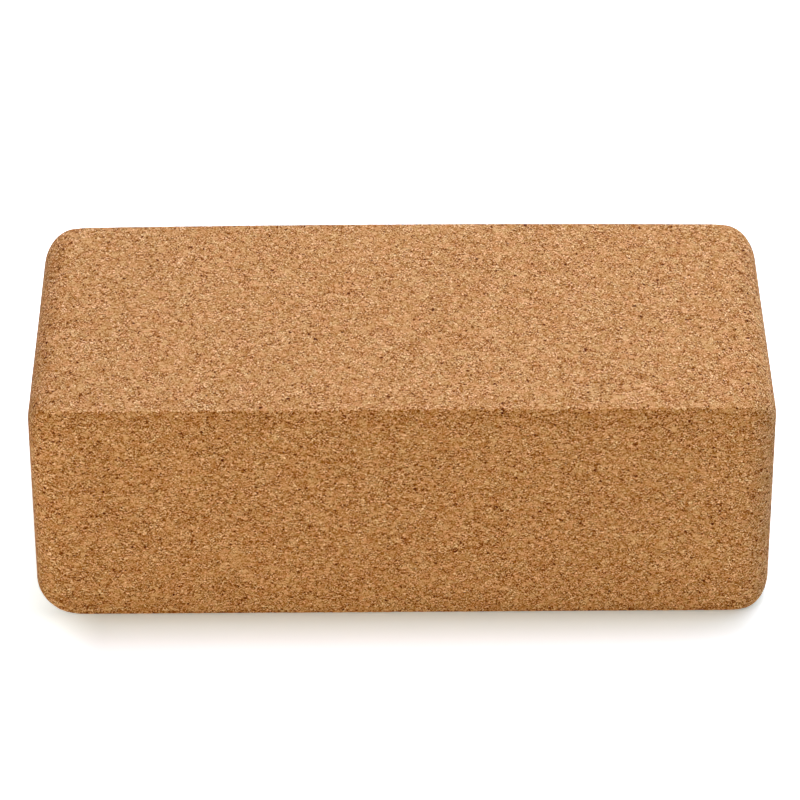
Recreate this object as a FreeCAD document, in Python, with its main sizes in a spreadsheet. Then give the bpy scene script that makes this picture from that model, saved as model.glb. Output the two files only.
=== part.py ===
import FreeCAD, Part
import math
import os
import Sketcher

# A slim yoga block: one solid brick of bonded cork granules, lying on its broad face.
# Lengths are in millimetres. The origin is the middle of the underside, +X runs along
# the block, +Y points to its back and +Z points up.

# The driving sizes. The long edges are only eased, and the ends are rounded both ways:
# end_radius turns the broad faces into the ends, corner_radius turns the long sides into them.
SIZES = {
    "length": 225,
    "depth": 105,
    "height": 75,
    "end_radius": 9.5,
    "corner_radius": 11,
    "edge_radius": 1,
}

NODE = "cork_block"

# Unit steps of a walk round an outline, anticlockwise from its lower side.
STEPS = [(1, 0), (0, 1), (-1, 0), (0, -1)]

# Point numbers that a constraint uses for a line or an arc, and the sketch's own origin.
START = 1
END = 2
ORIGIN = (-1, 1)


def add_sheet(doc):
    """Put the driving sizes into a sheet, one named cell each."""
    sheet = doc.addObject("Spreadsheet::Sheet", "Sizes")
    for row, (name, value) in enumerate(SIZES.items(), start=1):
        sheet.set(f"A{row}", name)
        sheet.set(f"B{row}", str(value))
        sheet.setAlias(f"B{row}", name)
    doc.recompute()
    return sheet


def add_sketch(body, name, plane):
    """Start a sketch on one of the body's own middle planes."""
    sketch = body.newObject("Sketcher::SketchObject", name)
    support = [feature for feature in body.Origin.OriginFeatures if feature.Role == plane]
    sketch.AttachmentSupport = (support[0], [""])
    sketch.MapMode = "FlatFace"
    return sketch


def bind(sketch, name, constraint, expression):
    """Add a named dimension and tie it to the sheet."""
    index = sketch.addConstraint(constraint)
    sketch.renameConstraint(index, name)
    sketch.setExpression(f"Constraints.{name}", expression)


def add_sides(sketch, half_sizes, radius):
    """Draw the four straight sides of a centred rectangle, each stopping a radius short of its corners."""
    sides = []
    for turn, along in enumerate(STEPS):
        outward = STEPS[turn - 1]
        ends = []
        for sign in (-1, 1):
            point = [
                half * out + sign * (half - radius) * step
                for half, out, step in zip(half_sizes, outward, along)
            ]
            ends.append(FreeCAD.Vector(*point, 0))
        sides.append(sketch.addGeometry(Part.LineSegment(*ends)))
    for turn, side in enumerate(sides):
        level = "Vertical" if turn % 2 else "Horizontal"
        sketch.addConstraint(Sketcher.Constraint(level, side))
    return sides


def place_sides(sketch, name, sides, half_sizes, reaches):
    """Dimension each side from the sketch's origin, so that the outline stays centred."""
    for turn, side in enumerate(sides):
        axis = turn % 2
        points = [ORIGIN, (side, START)]
        if STEPS[turn - 1][1 - axis] < 0:
            points.reverse()
        kind = "DistanceX" if axis else "DistanceY"
        reach = Sketcher.Constraint(kind, *points[0], *points[1], half_sizes[1 - axis])
        bind(sketch, f"{name}_{turn}", reach, reaches[1 - axis])


def add_rounded_outline(sketch, sheet, across, upward, rounding):
    """Draw a centred rectangle with round corners; the three sizes are names of cells."""
    half_sizes = [sheet.get(across) / 2, sheet.get(upward) / 2]
    radius = sheet.get(rounding)
    sides = add_sides(sketch, half_sizes, radius)
    arcs = []
    for turn, along in enumerate(STEPS):
        outward = STEPS[turn - 1]
        centre = [(half - radius) * (step + out) for half, step, out in zip(half_sizes, along, outward)]
        circle = Part.Circle(FreeCAD.Vector(*centre, 0), FreeCAD.Vector(0, 0, 1), radius)
        begin = (turn - 1) * math.pi / 2
        arcs.append(sketch.addGeometry(Part.ArcOfCircle(circle, begin, begin + math.pi / 2)))
    for turn, arc in enumerate(arcs):
        following = sides[(turn + 1) % len(sides)]
        sketch.addConstraint(Sketcher.Constraint("Tangent", sides[turn], END, arc, START))
        sketch.addConstraint(Sketcher.Constraint("Tangent", arc, END, following, START))
    for arc in arcs[1:]:
        sketch.addConstraint(Sketcher.Constraint("Equal", arcs[0], arc))
    bind(sketch, "rounding", Sketcher.Constraint("Radius", arcs[0], radius), f"Sizes.{rounding}")
    reaches = [f"Sizes.{across} / 2", f"Sizes.{upward} / 2"]
    place_sides(sketch, "outline", sides, half_sizes, reaches)


def add_trim_border(sketch, sheet, across, upward, rounding):
    """Draw the sharp rectangle that bounds what is trimmed off, one rounding wider all round."""
    radius = sheet.get(rounding)
    half_sizes = [sheet.get(across) / 2 + radius, sheet.get(upward) / 2 + radius]
    sides = add_sides(sketch, half_sizes, 0)
    for turn, side in enumerate(sides):
        following = sides[(turn + 1) % len(sides)]
        sketch.addConstraint(Sketcher.Constraint("Coincident", side, END, following, START))
    reaches = [f"Sizes.{across} / 2 + Sizes.{rounding}", f"Sizes.{upward} / 2 + Sizes.{rounding}"]
    place_sides(sketch, "border", sides, half_sizes, reaches)


def add_billet(doc, body, sheet):
    """Make the long billet: its cross-section has the eased long edges."""
    sketch = add_sketch(body, "EndOutline", "YZ_Plane")
    add_rounded_outline(sketch, sheet, "depth", "height", "edge_radius")
    pad = body.newObject("PartDesign::Pad", "Billet")
    pad.Profile = sketch
    pad.SideType = "Symmetric"
    pad.setExpression("Length", "Sizes.length")
    doc.recompute()


def trim_ends(doc, body, sheet, name, plane, upward, rounding):
    """Trim the billet to an outline with rounded ends, seen square to the given plane."""
    before = body.Shape.Volume
    sketch = add_sketch(body, f"{name}Outline", plane)
    add_rounded_outline(sketch, sheet, "length", upward, rounding)
    add_trim_border(sketch, sheet, "length", upward, rounding)
    pocket = body.newObject("PartDesign::Pocket", f"{name}Trim")
    pocket.Profile = sketch
    pocket.SideType = "Symmetric"
    pocket.Type = "ThroughAll"
    doc.recompute()
    if body.Shape.Volume >= before:
        raise RuntimeError(f"{name}Trim removed nothing")


def add_block(doc, sheet):
    """Build the block about its own middle and stand it on the floor."""
    body = doc.addObject("PartDesign::Body", "CorkBlock")
    body.Label = NODE
    add_billet(doc, body, sheet)
    trim_ends(doc, body, sheet, "Front", "XZ_Plane", "height", "end_radius")
    trim_ends(doc, body, sheet, "Plan", "XY_Plane", "depth", "corner_radius")
    body.setExpression("Placement.Base.z", "Sizes.height / 2")
    doc.recompute()
    return body


def check(doc, parts):
    """Stop before anything is written if an object failed or a shape isn't one sound solid."""
    for item in doc.Objects:
        if "Invalid" in item.State or "Error" in item.State:
            raise RuntimeError(f"{item.Name} failed: {item.State}")
    for part in parts:
        shape = part.Shape
        if shape.isNull() or not shape.isValid() or len(shape.Solids) != 1:
            raise RuntimeError(f"{part.Label} isn't one valid solid")


def export(parts):
    """Write each piece to its own file, named after its label."""
    os.makedirs("parts", exist_ok=True)
    for part in parts:
        part.Shape.exportStep(f"parts/{part.Label}.step")
        box = part.Shape.BoundBox
        print(
            f"{part.Label}: {box.XLength:.2f} x {box.YLength:.2f} x {box.ZLength:.2f} mm, "
            f"bottom at {box.ZMin:.3f}, {part.Shape.Volume / 1e6:.4f} litres"
        )


def main():
    doc = FreeCAD.newDocument("YogaBlock")
    sheet = add_sheet(doc)
    parts = [add_block(doc, sheet)]
    check(doc, parts)
    export(parts)


main()
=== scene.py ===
import math

import bpy
import numpy as np
from mathutils import Matrix, Vector


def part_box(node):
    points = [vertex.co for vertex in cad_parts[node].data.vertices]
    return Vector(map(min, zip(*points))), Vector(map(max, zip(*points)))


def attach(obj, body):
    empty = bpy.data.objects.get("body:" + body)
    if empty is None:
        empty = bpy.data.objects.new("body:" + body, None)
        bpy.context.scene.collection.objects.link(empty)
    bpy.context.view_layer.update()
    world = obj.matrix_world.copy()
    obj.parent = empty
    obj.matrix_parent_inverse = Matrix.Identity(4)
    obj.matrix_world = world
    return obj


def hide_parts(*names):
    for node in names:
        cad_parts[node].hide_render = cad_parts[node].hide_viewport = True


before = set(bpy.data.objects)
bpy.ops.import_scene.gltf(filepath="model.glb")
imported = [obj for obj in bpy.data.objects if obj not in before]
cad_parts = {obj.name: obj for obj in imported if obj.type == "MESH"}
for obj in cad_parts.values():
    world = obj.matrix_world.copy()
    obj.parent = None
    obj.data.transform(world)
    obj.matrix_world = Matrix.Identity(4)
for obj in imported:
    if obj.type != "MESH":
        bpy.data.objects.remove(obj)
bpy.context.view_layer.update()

# A slim block of bonded cork on a white studio floor. Blender's lengths are metres, in the
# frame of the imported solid; the sizes named below are millimetres unless they say otherwise.
MM = 0.001
NODE = "cork_block"
block_low, block_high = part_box(NODE)
CENTRE = (np.array(block_low) + np.array(block_high)) / 2 / MM
HALF = (np.array(block_high) - np.array(block_low)) / 2 / MM

# The block's form: the ends are rounded both ways. Each foot corner is sanded in its own way,
# by so much along the block and so much upwards.
END_RADIUS = 9.0
LEFT_FOOT = (15.5, 8.2)
RIGHT_FOOT = (8.0, 8.0)
CORNER_RADIUS = 10.5

# The long edges are only eased, the edges round the ends are eased more, and the back bows outwards.
EDGE_EASE = 0.6
CORNER_EASE = 3.0
CORNER_REACH = 14.0
BACK_BOW = 1.3

# The mesh: PITCH is how far apart its points are, on a box that is a little larger than the block.
# Along the box's edges, RIM_CELLS rows of cells share RIM_REACH. The points slide from the box towards
# a core that lies deeper than the roundings, and halving the way so often finds the block's surface.
PITCH = 0.5
RIM_CELLS = 4
RIM_REACH = 1.2
BOX_SCALE = 1.02
CORE_MARGIN = 2.0
HALVINGS = 30

# The gap between the six sides of the mesh where they lie on the UV sheet.
CHART_GAP = 3.0

# The granules: sizes across, and how high they are for their width after pressing. STIR is the size
# of the swirls that bend them, and STIR_PUSH is how far these push.
PRESSED = 0.66
STIR = 0.95
STIR_PUSH = 1.2
GRANULE = 2.14
CRUMB = 0.76
DUST = 0.46
SPECK = 2.0

# Shares of a cell's size: how far a dark speck or a pale flake reaches, how soft its rim is, and how
# wide the dark lines between cells are. SPECK_SHARE is the share of the cells that hold one.
SPECK_SHARE = 0.483
SPECK_REACH = 0.38
FLAKE_REACH = 0.5
SPOT_RIM = 0.1
SEAM_WIDTH = 0.277
CRACK_WIDTH = 0.27

# Pale dust casts a painted shadow on the cork in front of it and on the cork below it: how far off,
# as measured before the pressing, and by what share.
DUST_SHADOW_DROPS = [(0.0, 1.2, 0.0), (0.0, 0.0, 1.1)]
DUST_SHADOW_SHARE = 0.15

# How many levels of 8-bit colour each layer shifts the tone by, and the shift that makes up for all.
GRANULE_TONE = 4.5
CRUMB_TONE = 37.0
DUST_TONE = 152.0
SEAM_TONE = 5.12
CRACK_TONE = 66.0
SPECK_TONE = 82.0
FLAKE_TONE = 22.0
MEAN_TONE = 21.0

# What share of their contrast the calmest granules and the pale flakes lose, and what share of the
# granules is calmer than the rest.
CALM_LOSS = 0.5
FLAKE_LOSS = 0.85
CALM_SHARE = 0.5

# Cork's middle colour in 8-bit sRGB, how far each channel falls or rises per level of tone, the tones
# at which the ramp holds a colour, and the levels that its channels keep between.
TAN = (191, 135, 75)
FALL = (1.05, 1.14, 1.56)
RISE = (0.57, 0.77, 0.86)
RAMP_TONES = range(-120, 121, 30)
RAMP_LIMITS = (1, 252)

# By what share a granule's own hue moves each channel at most. The gloss is slight, and the surface
# gets less rough and stands higher from the dark end of the tone's span to the pale one.
HUE_SHIFT = (0.034, -0.018, 0.02)
SPECULAR = 0.2
TONE_SPAN = (-50.0, 50.0)
ROUGHNESS = (0.95, 0.75)

# The broad faces are sanded smoother, so their tones differ less. Painted shade darkens the sides below
# the upper rim, a painted contact shadow darkens them along the foot, and a painted highlight makes the
# broad faces paler along their front edges.
BROAD_SHARE = 0.93
RIM_SHADE_TONE = 10.0
RIM_SHADE_DEPTH = 9.0
FOOT_SHADOW_TONE = 22.0
FOOT_SHADOW_DEPTH = 1.6
EDGE_HIGHLIGHT_TONE = 6.0
EDGE_HIGHLIGHT_DEPTH = 3.0

# The relief that the granules and their seams leave in the mesh, the depth of a speck's pit, and the
# height of the grain that is too fine for the mesh.
GRAIN_RELIEF = 0.045
PIT_DEPTH = 0.1
GRAIN_HEIGHT = 0.12

# The camera, from the outline of the block in the photograph: the angles are in degrees, and it aims
# at a point so far right of the block's middle and above it in the picture.
LENS = 196.2
SENSOR = 36.0
CAMERA_DISTANCE = 1361.5
CAMERA_ELEVATION = 33.74
CAMERA_YAW = 0.33
CAMERA_ROLL = 0.16
AIM_RIGHT = -0.4
AIM_UP = 5.0

# The lamps: place and size in metres, watts and tint.
PANELS = [
    ("overhead", (0.12, 0.15, 1.3), (0.5, 0.25), 10.0, (1.1, 1.0, 1.15)),
    ("back", (0.0, 1.3, 0.7), (2.4, 1.3), 11.2, (0.85, 1.0, 1.15)),
    ("back_right", (0.9, 1.0, 0.7), (1.0, 1.3), 7.7, (0.85, 1.0, 1.15)),
    ("right", (1.3, 0.0, 0.7), (1.2, 1.3), 5.6, (0.85, 1.0, 1.15)),
    ("front", (-0.65, -1.35, 0.35), (2.0, 0.6), 15.2, (1.17, 1.02, 0.82)),
]

# The floor: half its width in metres, and its colour where it throws light on the block. The camera
# sees a white floor in a white room.
FLOOR_HALF = 4.0
FLOOR_GREY = (0.8, 0.8, 0.8, 1.0)
WHITE = (1.0, 1.0, 1.0, 1.0)

# What the floor adds to its lit colour for the camera, to be white: only a share of it in the strip
# that the block lies on, which fades out in front and behind, and END_LIFT more past the two ends,
# where the fade starts inside the block's outline. The smaller share in the strip is painted shadow
# beside the foot, and the extra past the ends is painted light over the shadow there. SHADOW_SHIFT
# moves all this to the right.
FLOOR_LIFT = (0.26, 0.315, 0.29)
FOOT_LIFT = 0.65
FOOT_FADE = 6.0
END_LIFT = 0.55
END_FADE = (-17.0, 8.0)
SHADOW_SHIFT = 5.0


def linear(colour):
    """Turn an 8-bit sRGB colour into the scene's linear one."""
    levels = [value / 255 for value in colour]
    curve = [v / 12.92 if v <= 0.04045 else ((v + 0.055) / 1.055) ** 2.4 for v in levels]
    return (*curve, 1.0)


class Tree:
    """Adds nodes to a material's tree or a geometry tree, so that both can share one pattern."""

    def __init__(self, tree):
        self.tree = tree

    def add(self, kind, inputs=(), **settings):
        node = self.tree.nodes.new(kind)
        for name, value in settings.items():
            setattr(node, name, value)
        for name, value in dict(inputs).items():
            if isinstance(value, bpy.types.NodeSocket):
                self.tree.links.new(value, node.inputs[name])
            else:
                node.inputs[name].default_value = value
        return node

    def math(self, operation, first, second=0.0, third=0.0):
        inputs = {0: first, 1: second, 2: third}
        return self.add("ShaderNodeMath", inputs, operation=operation).outputs[0]

    def vector(self, operation, first, second=(0.0, 0.0, 0.0)):
        inputs = {0: first, 1: second}
        return self.add("ShaderNodeVectorMath", inputs, operation=operation).outputs[0]

    def scale(self, vector, factor):
        inputs = {0: vector, "Scale": factor}
        return self.add("ShaderNodeVectorMath", inputs, operation="SCALE").outputs[0]

    def split(self, vector):
        return self.add("ShaderNodeSeparateXYZ", {0: vector}).outputs

    def remap(self, value, low, high, to_low=0.0, to_high=1.0, smooth=False):
        inputs = {"Value": value, "From Min": low, "From Max": high, "To Min": to_low, "To Max": to_high}
        kind = "SMOOTHSTEP" if smooth else "LINEAR"
        return self.add("ShaderNodeMapRange", inputs, interpolation_type=kind).outputs[0]

    def centred(self, value, reach):
        return self.remap(value, 0.0, 1.0, -reach, reach)

    def noise(self, place, size, detail):
        inputs = {"Vector": place, "Scale": 1 / size, "Detail": detail}
        return self.add("ShaderNodeTexNoise", inputs)

    def cells(self, place, size, feature="F1"):
        inputs = {"Vector": place, "Scale": 1 / size}
        return self.add("ShaderNodeTexVoronoi", inputs, feature=feature)

    def random(self, cells, channel):
        return self.split(cells.outputs["Color"])[channel]

    def lines(self, place, size, width):
        edge = self.cells(place, size, feature="DISTANCE_TO_EDGE").outputs["Distance"]
        return self.remap(edge, 0.0, width, 1.0, 0.0, smooth=True)


def empty_tree(owner):
    """Clear the nodes of a material or the world, so that it gets a tree of its own."""
    owner.use_nodes = True
    owner.node_tree.nodes.clear()
    return Tree(owner.node_tree)


def add_object(name, data):
    """Put an object into the scene."""
    item = bpy.data.objects.new(name, data)
    bpy.context.scene.collection.objects.link(item)
    return item


def spot(tree, cells, channel, reach):
    """Spots in a share of the cells, each of its own size, with soft rims."""
    size = tree.remap(tree.random(cells, channel), 1 - SPECK_SHARE, 1.0, 0.0, reach)
    inside = tree.math("SUBTRACT", size, cells.outputs["Distance"])
    return tree.remap(inside, 0.0, SPOT_RIM, smooth=True)


def cork_pattern(tree, place):
    """The granules as fields of a solid, from 0 to 1; place is in millimetres."""
    unpressed = tree.vector("MULTIPLY", place, (1.0, 1.0, 1 / PRESSED))
    swirl = tree.noise(unpressed, STIR, detail=2.0).outputs["Color"]
    push = tree.scale(tree.vector("SUBTRACT", swirl, (0.5, 0.5, 0.5)), STIR_PUSH)
    stirred = tree.vector("ADD", unpressed, push)
    granule = tree.cells(stirred, GRANULE)
    speck = tree.cells(stirred, SPECK)
    return {
        "granule": tree.random(granule, 0),
        "hue": tree.random(granule, 1),
        "calm": tree.random(granule, 2),
        "seam": tree.lines(stirred, GRANULE, SEAM_WIDTH),
        "speck": spot(tree, speck, 0, SPECK_REACH),
        "flake": spot(tree, speck, 1, FLAKE_REACH),
        "stirred": stirred,
    }


def box_lattice(counts):
    """The lattice points on a box's surface, and the outward quads that join them, side by side."""
    shell = np.ones([count + 1 for count in counts], bool)
    shell[1:-1, 1:-1, 1:-1] = False
    number = np.full(shell.shape, -1)
    number[shell] = np.arange(shell.sum())
    quads = []
    for axis in range(3):
        for side in (0, -1):
            sheet = np.take(number, side, axis)
            ring = [sheet[:-1, :-1], sheet[1:, :-1], sheet[1:, 1:], sheet[:-1, 1:]]
            if (side == 0) != (axis == 1):
                ring.reverse()
            quads.append(np.stack(ring, -1).reshape(-1, 4))
    return np.argwhere(shell), quads


def box_points(lattice, counts, half):
    """Where the lattice points lie on a box: evenly spread, and closer together along its edges."""
    columns = []
    for numbers, count, reach in zip(lattice.T, counts, half):
        marks = [0, RIM_CELLS, count - RIM_CELLS, count]
        places = [-reach, RIM_REACH - reach, reach - RIM_REACH, reach]
        columns.append(np.interp(numbers, marks, places))
    return np.stack(columns, -1)


def rounded_rectangle(u, v, half_u, half_v, round_u, round_v):
    """Signed distance to a centred rectangle whose corners are rounded by so much along u and v."""
    share_u = np.maximum(np.abs(u) - half_u + round_u, 0) / round_u
    share_v = np.maximum(np.abs(v) - half_v + round_v, 0) / round_v
    reach = np.hypot(share_u, share_v)
    slope = np.hypot(share_u / round_u, share_v / round_v)
    rounded = (reach - 1) * reach / np.maximum(slope, 1e-9)
    inner = np.maximum(np.abs(u) - half_u, np.abs(v) - half_v)
    return np.where(reach > 0, rounded, inner)


def block_distance(points):
    """Signed distance to the smooth block: two rounded outlines that meet in eased edges."""
    x, y, z = points.T
    near_end = np.clip((np.abs(x) - HALF[0] + CORNER_REACH) / CORNER_REACH, 0, 1)
    ease = EDGE_EASE + (CORNER_EASE - EDGE_EASE) * near_end ** 2 * (3 - 2 * near_end)
    # The easing takes a quarter of itself off the flat ends, which the length makes up for.
    half_length = HALF[0] + ease / 4
    rounds = [
        np.where(z < 0, np.where(x < 0, left, right), END_RADIUS)
        for left, right in zip(LEFT_FOOT, RIGHT_FOOT)
    ]
    front = rounded_rectangle(x, z, half_length, HALF[2], *rounds)
    plan = rounded_rectangle(x, y, half_length, HALF[1], CORNER_RADIUS, CORNER_RADIUS)
    blend = np.maximum(ease - np.abs(front - plan), 0) / ease
    return np.maximum(front, plan) + blend ** 2 * ease / 4


def cast_to_block(outer, core):
    """Slide each point between the core and the outer box until it lies on the block."""
    inside = np.zeros(len(outer))
    outside = np.ones(len(outer))
    for _ in range(HALVINGS):
        share = (inside + outside) / 2
        within = block_distance(core + (outer - core) * share[:, None]) < 0
        inside = np.where(within, share, inside)
        outside = np.where(within, outside, share)
    return core + (outer - core) * share[:, None]


def lay_out(quads, shares):
    """Lay the six sides of the box flat on one square sheet, at one scale, as a UV map."""
    sizes = HALF * 2
    sheet = 2 * (sizes[1] + sizes[2]) + 5 * CHART_GAP
    upright = sizes[0] + 2 * CHART_GAP
    # Each side: the lattice axes that run across and up the sheet, and its lower left corner.
    steps = [0, sizes[1], sizes[1], sizes[2]]
    rows = np.cumsum([step + CHART_GAP for step in steps])
    places = [
        (2, 1, upright, rows[0]),
        (2, 1, upright, rows[1]),
        (0, 2, CHART_GAP, rows[2]),
        (0, 2, CHART_GAP, rows[3]),
        (0, 1, CHART_GAP, rows[0]),
        (0, 1, CHART_GAP, rows[1]),
    ]
    charts = []
    for side, (across, upward, left, bottom) in zip(quads, places):
        share = shares[side]
        u = left + share[..., across] * sizes[across]
        v = bottom + share[..., upward] * sizes[upward]
        charts.append(np.stack([u, v], -1) / sheet)
    return np.concatenate(charts)


def block_mesh():
    """The smooth block as an even grid of quads, with its UV map."""
    counts = np.round(HALF * 2 / PITCH).astype(int)
    lattice, quads = box_lattice(counts)
    half = HALF * BOX_SCALE
    outer = box_points(lattice, counts, half)
    depth = max(*LEFT_FOOT, CORNER_RADIUS) + CORE_MARGIN
    core = np.clip(outer, depth - HALF, HALF - depth)
    points = cast_to_block(outer, core)
    back = np.clip(points[:, 1] / HALF[1], 0, 1)
    points[:, 1] += BACK_BOW * back * (1 - (points[:, 0] / HALF[0]) ** 2)
    mesh = bpy.data.meshes.new("cork_body")
    mesh.from_pydata((points + CENTRE) * MM, [], np.concatenate(quads).tolist())
    charts = lay_out(quads, (outer / half + 1) / 2)
    mesh.uv_layers.new(name="OFBake").uv.foreach_set("vector", charts.ravel())
    mesh.shade_smooth()
    return mesh


def relief_tree():
    """Geometry nodes that press the granules and pits into the surface and keep the place each point had."""
    group = bpy.data.node_groups.new("cork_relief", "GeometryNodeTree")
    group.interface.new_socket("Geometry", in_out="INPUT", socket_type="NodeSocketGeometry")
    group.interface.new_socket("Geometry", in_out="OUTPUT", socket_type="NodeSocketGeometry")
    tree = Tree(group)
    source = tree.add("NodeGroupInput").outputs[0]
    place = tree.scale(tree.add("GeometryNodeInputPosition").outputs[0], 1 / MM)
    pattern = cork_pattern(tree, place)
    lift = tree.math("MULTIPLY_ADD", pattern["granule"], GRAIN_RELIEF, -GRAIN_RELIEF)
    lift = tree.math("MULTIPLY_ADD", pattern["seam"], -GRAIN_RELIEF, lift)
    lift = tree.math("MULTIPLY_ADD", pattern["speck"], -PIT_DEPTH, lift)
    normal = tree.add("GeometryNodeInputNormal").outputs[0]
    offset = tree.scale(normal, tree.math("MULTIPLY", lift, MM))
    stored = tree.add(
        "GeometryNodeStoreNamedAttribute",
        {"Geometry": source, "Name": "cork_place", "Value": place},
        data_type="FLOAT_VECTOR",
        domain="POINT",
    ).outputs[0]
    moved = tree.add("GeometryNodeSetPosition", {"Geometry": stored, "Offset": offset}).outputs[0]
    tree.add("NodeGroupOutput", {0: moved})
    return group


def crumbled_tone(tree, pattern):
    """The tone of crumbs, cracks and dust, which the calm granules and the pale flakes show less of."""
    stirred = pattern["stirred"]
    crumb = tree.cells(stirred, CRUMB)
    crack = tree.math("MULTIPLY", tree.lines(stirred, CRUMB, CRACK_WIDTH), tree.random(crumb, 1))
    dust = tree.noise(stirred, DUST, detail=0.0).outputs[0]
    # Each pale grain of dust paints shadow on the cork in front of it and below it.
    for drop in DUST_SHADOW_DROPS:
        beyond = tree.noise(tree.vector("ADD", stirred, drop), DUST, detail=0.0).outputs[0]
        dust = tree.math("ADD", dust, tree.centred(beyond, -DUST_SHADOW_SHARE))
    tone = tree.centred(tree.random(crumb, 0), CRUMB_TONE)
    tone = tree.math("ADD", tone, tree.centred(dust, DUST_TONE))
    tone = tree.math("MULTIPLY_ADD", crack, -CRACK_TONE, tone)
    granule_share = tree.remap(pattern["calm"], 0.0, CALM_SHARE, 1 - CALM_LOSS, 1.0)
    flake_share = tree.remap(pattern["flake"], 0.0, 1.0, 1.0, 1 - FLAKE_LOSS)
    return tree.math("MULTIPLY", tone, tree.math("MULTIPLY", granule_share, flake_share))


def shade_edges(tree, place, tone):
    """Calm the tones of the two broad faces, and paint shade and a highlight on the faces towards their
    edges.
    """
    middle = tree.vector("SUBTRACT", place, tuple(CENTRE))
    depth, height = tree.split(middle)[1:]
    # The change from a side to a broad face lies within the eased edge.
    broad = tree.remap(tree.math("ABSOLUTE", height), HALF[2] - EDGE_EASE / 2, HALF[2] - EDGE_EASE / 10)
    # Painted shade below the upper rim, a painted contact shadow along the foot, and a painted highlight
    # along the broad faces' front edges.
    rim = tree.remap(height, HALF[2] - RIM_SHADE_DEPTH, HALF[2] - EDGE_EASE, 0.0, -RIM_SHADE_TONE, smooth=True)
    foot = tree.remap(height, FOOT_SHADOW_DEPTH - HALF[2], -HALF[2], 0.0, -FOOT_SHADOW_TONE)
    painted_highlight = tree.remap(depth, EDGE_HIGHLIGHT_DEPTH - HALF[1], -HALF[1], 0.0, EDGE_HIGHLIGHT_TONE)
    shade = tree.remap(broad, 0.0, 1.0, tree.math("ADD", rim, foot), painted_highlight)
    tone = tree.math("MULTIPLY", tone, tree.remap(broad, 0.0, 1.0, 1.0, BROAD_SHARE))
    return tree.math("ADD", tone, shade)


def cork_tone(tree, place, pattern):
    """How many levels paler or darker than the middle colour the cork is."""
    tone = crumbled_tone(tree, pattern)
    tone = tree.math("ADD", tone, tree.centred(pattern["granule"], GRANULE_TONE))
    tone = tree.math("MULTIPLY_ADD", pattern["seam"], -SEAM_TONE, tone)
    # A speck is dark cork, with painted shade for the shadow in its pit.
    tone = tree.math("MULTIPLY_ADD", pattern["speck"], -SPECK_TONE, tone)
    tone = tree.math("MULTIPLY_ADD", pattern["flake"], FLAKE_TONE, tone)
    tone = tree.math("ADD", tone, MEAN_TONE)
    return shade_edges(tree, place, tone)


def tone_ramp(tree, tone):
    """Colour the tone, given in levels above or below the middle colour."""
    low, high = RAMP_TONES[0], RAMP_TONES[-1]
    ramp = tree.add("ShaderNodeValToRGB", {"Fac": tree.remap(tone, low, high)})
    elements = ramp.color_ramp.elements
    while len(elements) < len(RAMP_TONES):
        elements.new(0.5)
    for element, level in zip(elements, RAMP_TONES):
        rates = RISE if level > 0 else FALL
        shade = [middle + rate * level for middle, rate in zip(TAN, rates)]
        element.position = (level - low) / (high - low)
        element.color = linear(np.clip(shade, *RAMP_LIMITS))
    return ramp.outputs["Color"]


def cork_material():
    """Bonded cork: granules of many tans, some calm and some crumbled, with dark seams and specks."""
    material = bpy.data.materials.new("bonded_cork")
    tree = empty_tree(material)
    place = tree.add("ShaderNodeAttribute", attribute_name="cork_place").outputs["Vector"]
    pattern = cork_pattern(tree, place)
    tone = cork_tone(tree, place, pattern)
    shift = tree.scale(HUE_SHIFT, tree.centred(pattern["hue"], 1.0))
    tint = tree.vector("ADD", shift, (1.0, 1.0, 1.0))
    height = tree.remap(tone, *TONE_SPAN)
    bump = tree.add("ShaderNodeBump", {"Height": height, "Strength": 1.0, "Distance": GRAIN_HEIGHT * MM})
    shader = tree.add(
        "ShaderNodeBsdfPrincipled",
        {
            "Base Color": tree.vector("MULTIPLY", tone_ramp(tree, tone), tint),
            "Roughness": tree.remap(tone, *TONE_SPAN, *ROUGHNESS),
            "Normal": bump.outputs["Normal"],
            "Specular IOR Level": SPECULAR,
        },
    )
    tree.add("ShaderNodeOutputMaterial", {"Surface": shader.outputs[0]})
    return material


def make_block():
    """Put the detailed cork block in the place of the plain solid."""
    smooth = add_object("cork_smooth", block_mesh())
    relief = smooth.modifiers.new("relief", "NODES")
    relief.node_group = relief_tree()
    ready = smooth.evaluated_get(bpy.context.evaluated_depsgraph_get())
    mesh = bpy.data.meshes.new_from_object(ready)
    mesh.name = "cork_body"
    bpy.data.objects.remove(smooth)
    block = add_object("cork_body", mesh)
    mesh.materials.clear()
    mesh.materials.append(cork_material())
    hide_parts(NODE)
    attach(block, "root")


def white_to_camera(tree, lit, white):
    """Mix a shader that lights the object with the one that the camera and reflections see."""
    path = tree.add("ShaderNodeLightPath").outputs
    seen = tree.math("MAXIMUM", path["Is Camera Ray"], path["Is Glossy Ray"])
    seen = tree.math("MAXIMUM", seen, path["Is Transmission Ray"])
    return tree.add("ShaderNodeMixShader", {0: seen, 1: lit, 2: white}).outputs[0]


def floor_lift(tree):
    """The light that the floor adds to its lit colour for the camera."""
    place = tree.add("ShaderNodeNewGeometry").outputs["Position"]
    place = tree.vector("SUBTRACT", place, (SHADOW_SHIFT * MM, 0.0, 0.0))
    across, along = tree.split(tree.vector("ABSOLUTE", place))[:2]
    # Less lift beside the foot paints shadow there, and more past the ends paints light over the shadow.
    foot = tree.remap(along, HALF[1] * MM, (HALF[1] + FOOT_FADE) * MM, FOOT_LIFT, 1.0)
    fade = [(HALF[0] + reach) * MM for reach in END_FADE]
    ends = tree.remap(across, *fade, 0.0, END_LIFT, smooth=True)
    lift = tree.vector("ADD", tree.scale(FLOOR_LIFT, foot), ends)
    return tree.add("ShaderNodeEmission", {"Color": lift}).outputs[0]


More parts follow.
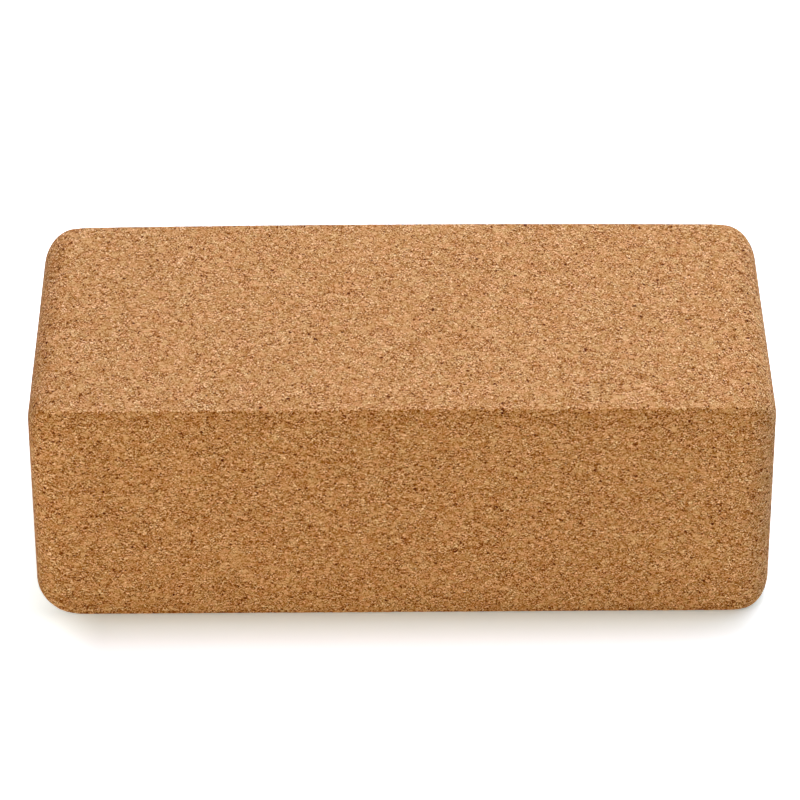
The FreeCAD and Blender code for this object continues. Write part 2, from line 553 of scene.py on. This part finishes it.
def make_floor():
    """A plain pale floor, lifted to white for the camera, which keeps the block's shadow."""
    half = FLOOR_HALF
    corners = [(-half, -half, 0), (half, -half, 0), (half, half, 0), (-half, half, 0)]
    mesh = bpy.data.meshes.new("floor")
    mesh.from_pydata(corners, [], [(0, 1, 2, 3)])
    floor = add_object("floor", mesh)
    material = bpy.data.materials.new("studio_floor")
    tree = empty_tree(material)
    plain = tree.add("ShaderNodeBsdfDiffuse", {"Color": FLOOR_GREY}).outputs[0]
    pale = tree.add("ShaderNodeBsdfDiffuse", {"Color": WHITE}).outputs[0]
    white = tree.add("ShaderNodeAddShader", {0: pale, 1: floor_lift(tree)}).outputs[0]
    tree.add("ShaderNodeOutputMaterial", {"Surface": white_to_camera(tree, plain, white)})
    mesh.materials.append(material)


def make_panel(name, place, size, energy, colour):
    """One softbox, aimed at the middle of the floor."""
    data = bpy.data.lights.new(name, "AREA")
    data.shape = "RECTANGLE"
    data.size, data.size_y = size
    data.energy = energy
    data.color = colour
    lamp = add_object(name, data)
    lamp.location = place
    lamp.rotation_euler = (-lamp.location).to_track_quat("-Z", "Y").to_euler()


def make_light():
    """Soft studio light: panels round the block, in a room that looks white and gives no light."""
    world = bpy.data.worlds.new("studio")
    tree = empty_tree(world)
    room = tree.add("ShaderNodeBackground", {"Color": WHITE, "Strength": 0.0}).outputs[0]
    white = tree.add("ShaderNodeBackground", {"Color": WHITE, "Strength": 1.0}).outputs[0]
    tree.add("ShaderNodeOutputWorld", {"Surface": white_to_camera(tree, room, white)})
    bpy.context.scene.world = world
    for panel in PANELS:
        make_panel(*panel)


def make_camera():
    """The photograph's camera: a long lens, looking down on the block's front."""
    yaw, tilt, roll = (math.radians(angle) for angle in (CAMERA_YAW, CAMERA_ELEVATION, CAMERA_ROLL))
    ahead = Vector((math.sin(yaw) * math.cos(tilt), math.cos(yaw) * math.cos(tilt), -math.sin(tilt)))
    level = Vector((math.cos(yaw), -math.sin(yaw), 0))
    upward = level.cross(ahead)
    right = level * math.cos(roll) - upward * math.sin(roll)
    upward = right.cross(ahead)
    data = bpy.data.cameras.new("camera")
    data.lens = LENS
    data.sensor_width = SENSOR
    camera = add_object("camera", data)
    aim = Vector(CENTRE) + right * AIM_RIGHT + upward * AIM_UP
    place = (aim - ahead * CAMERA_DISTANCE) * MM
    axes = Matrix((right, upward, -ahead)).transposed()
    camera.matrix_world = Matrix.Translation(place) @ axes.to_4x4()
    bpy.context.scene.camera = camera


bpy.context.scene.view_settings.view_transform = "Standard"
make_block()
make_floor()
make_light()
make_camera()
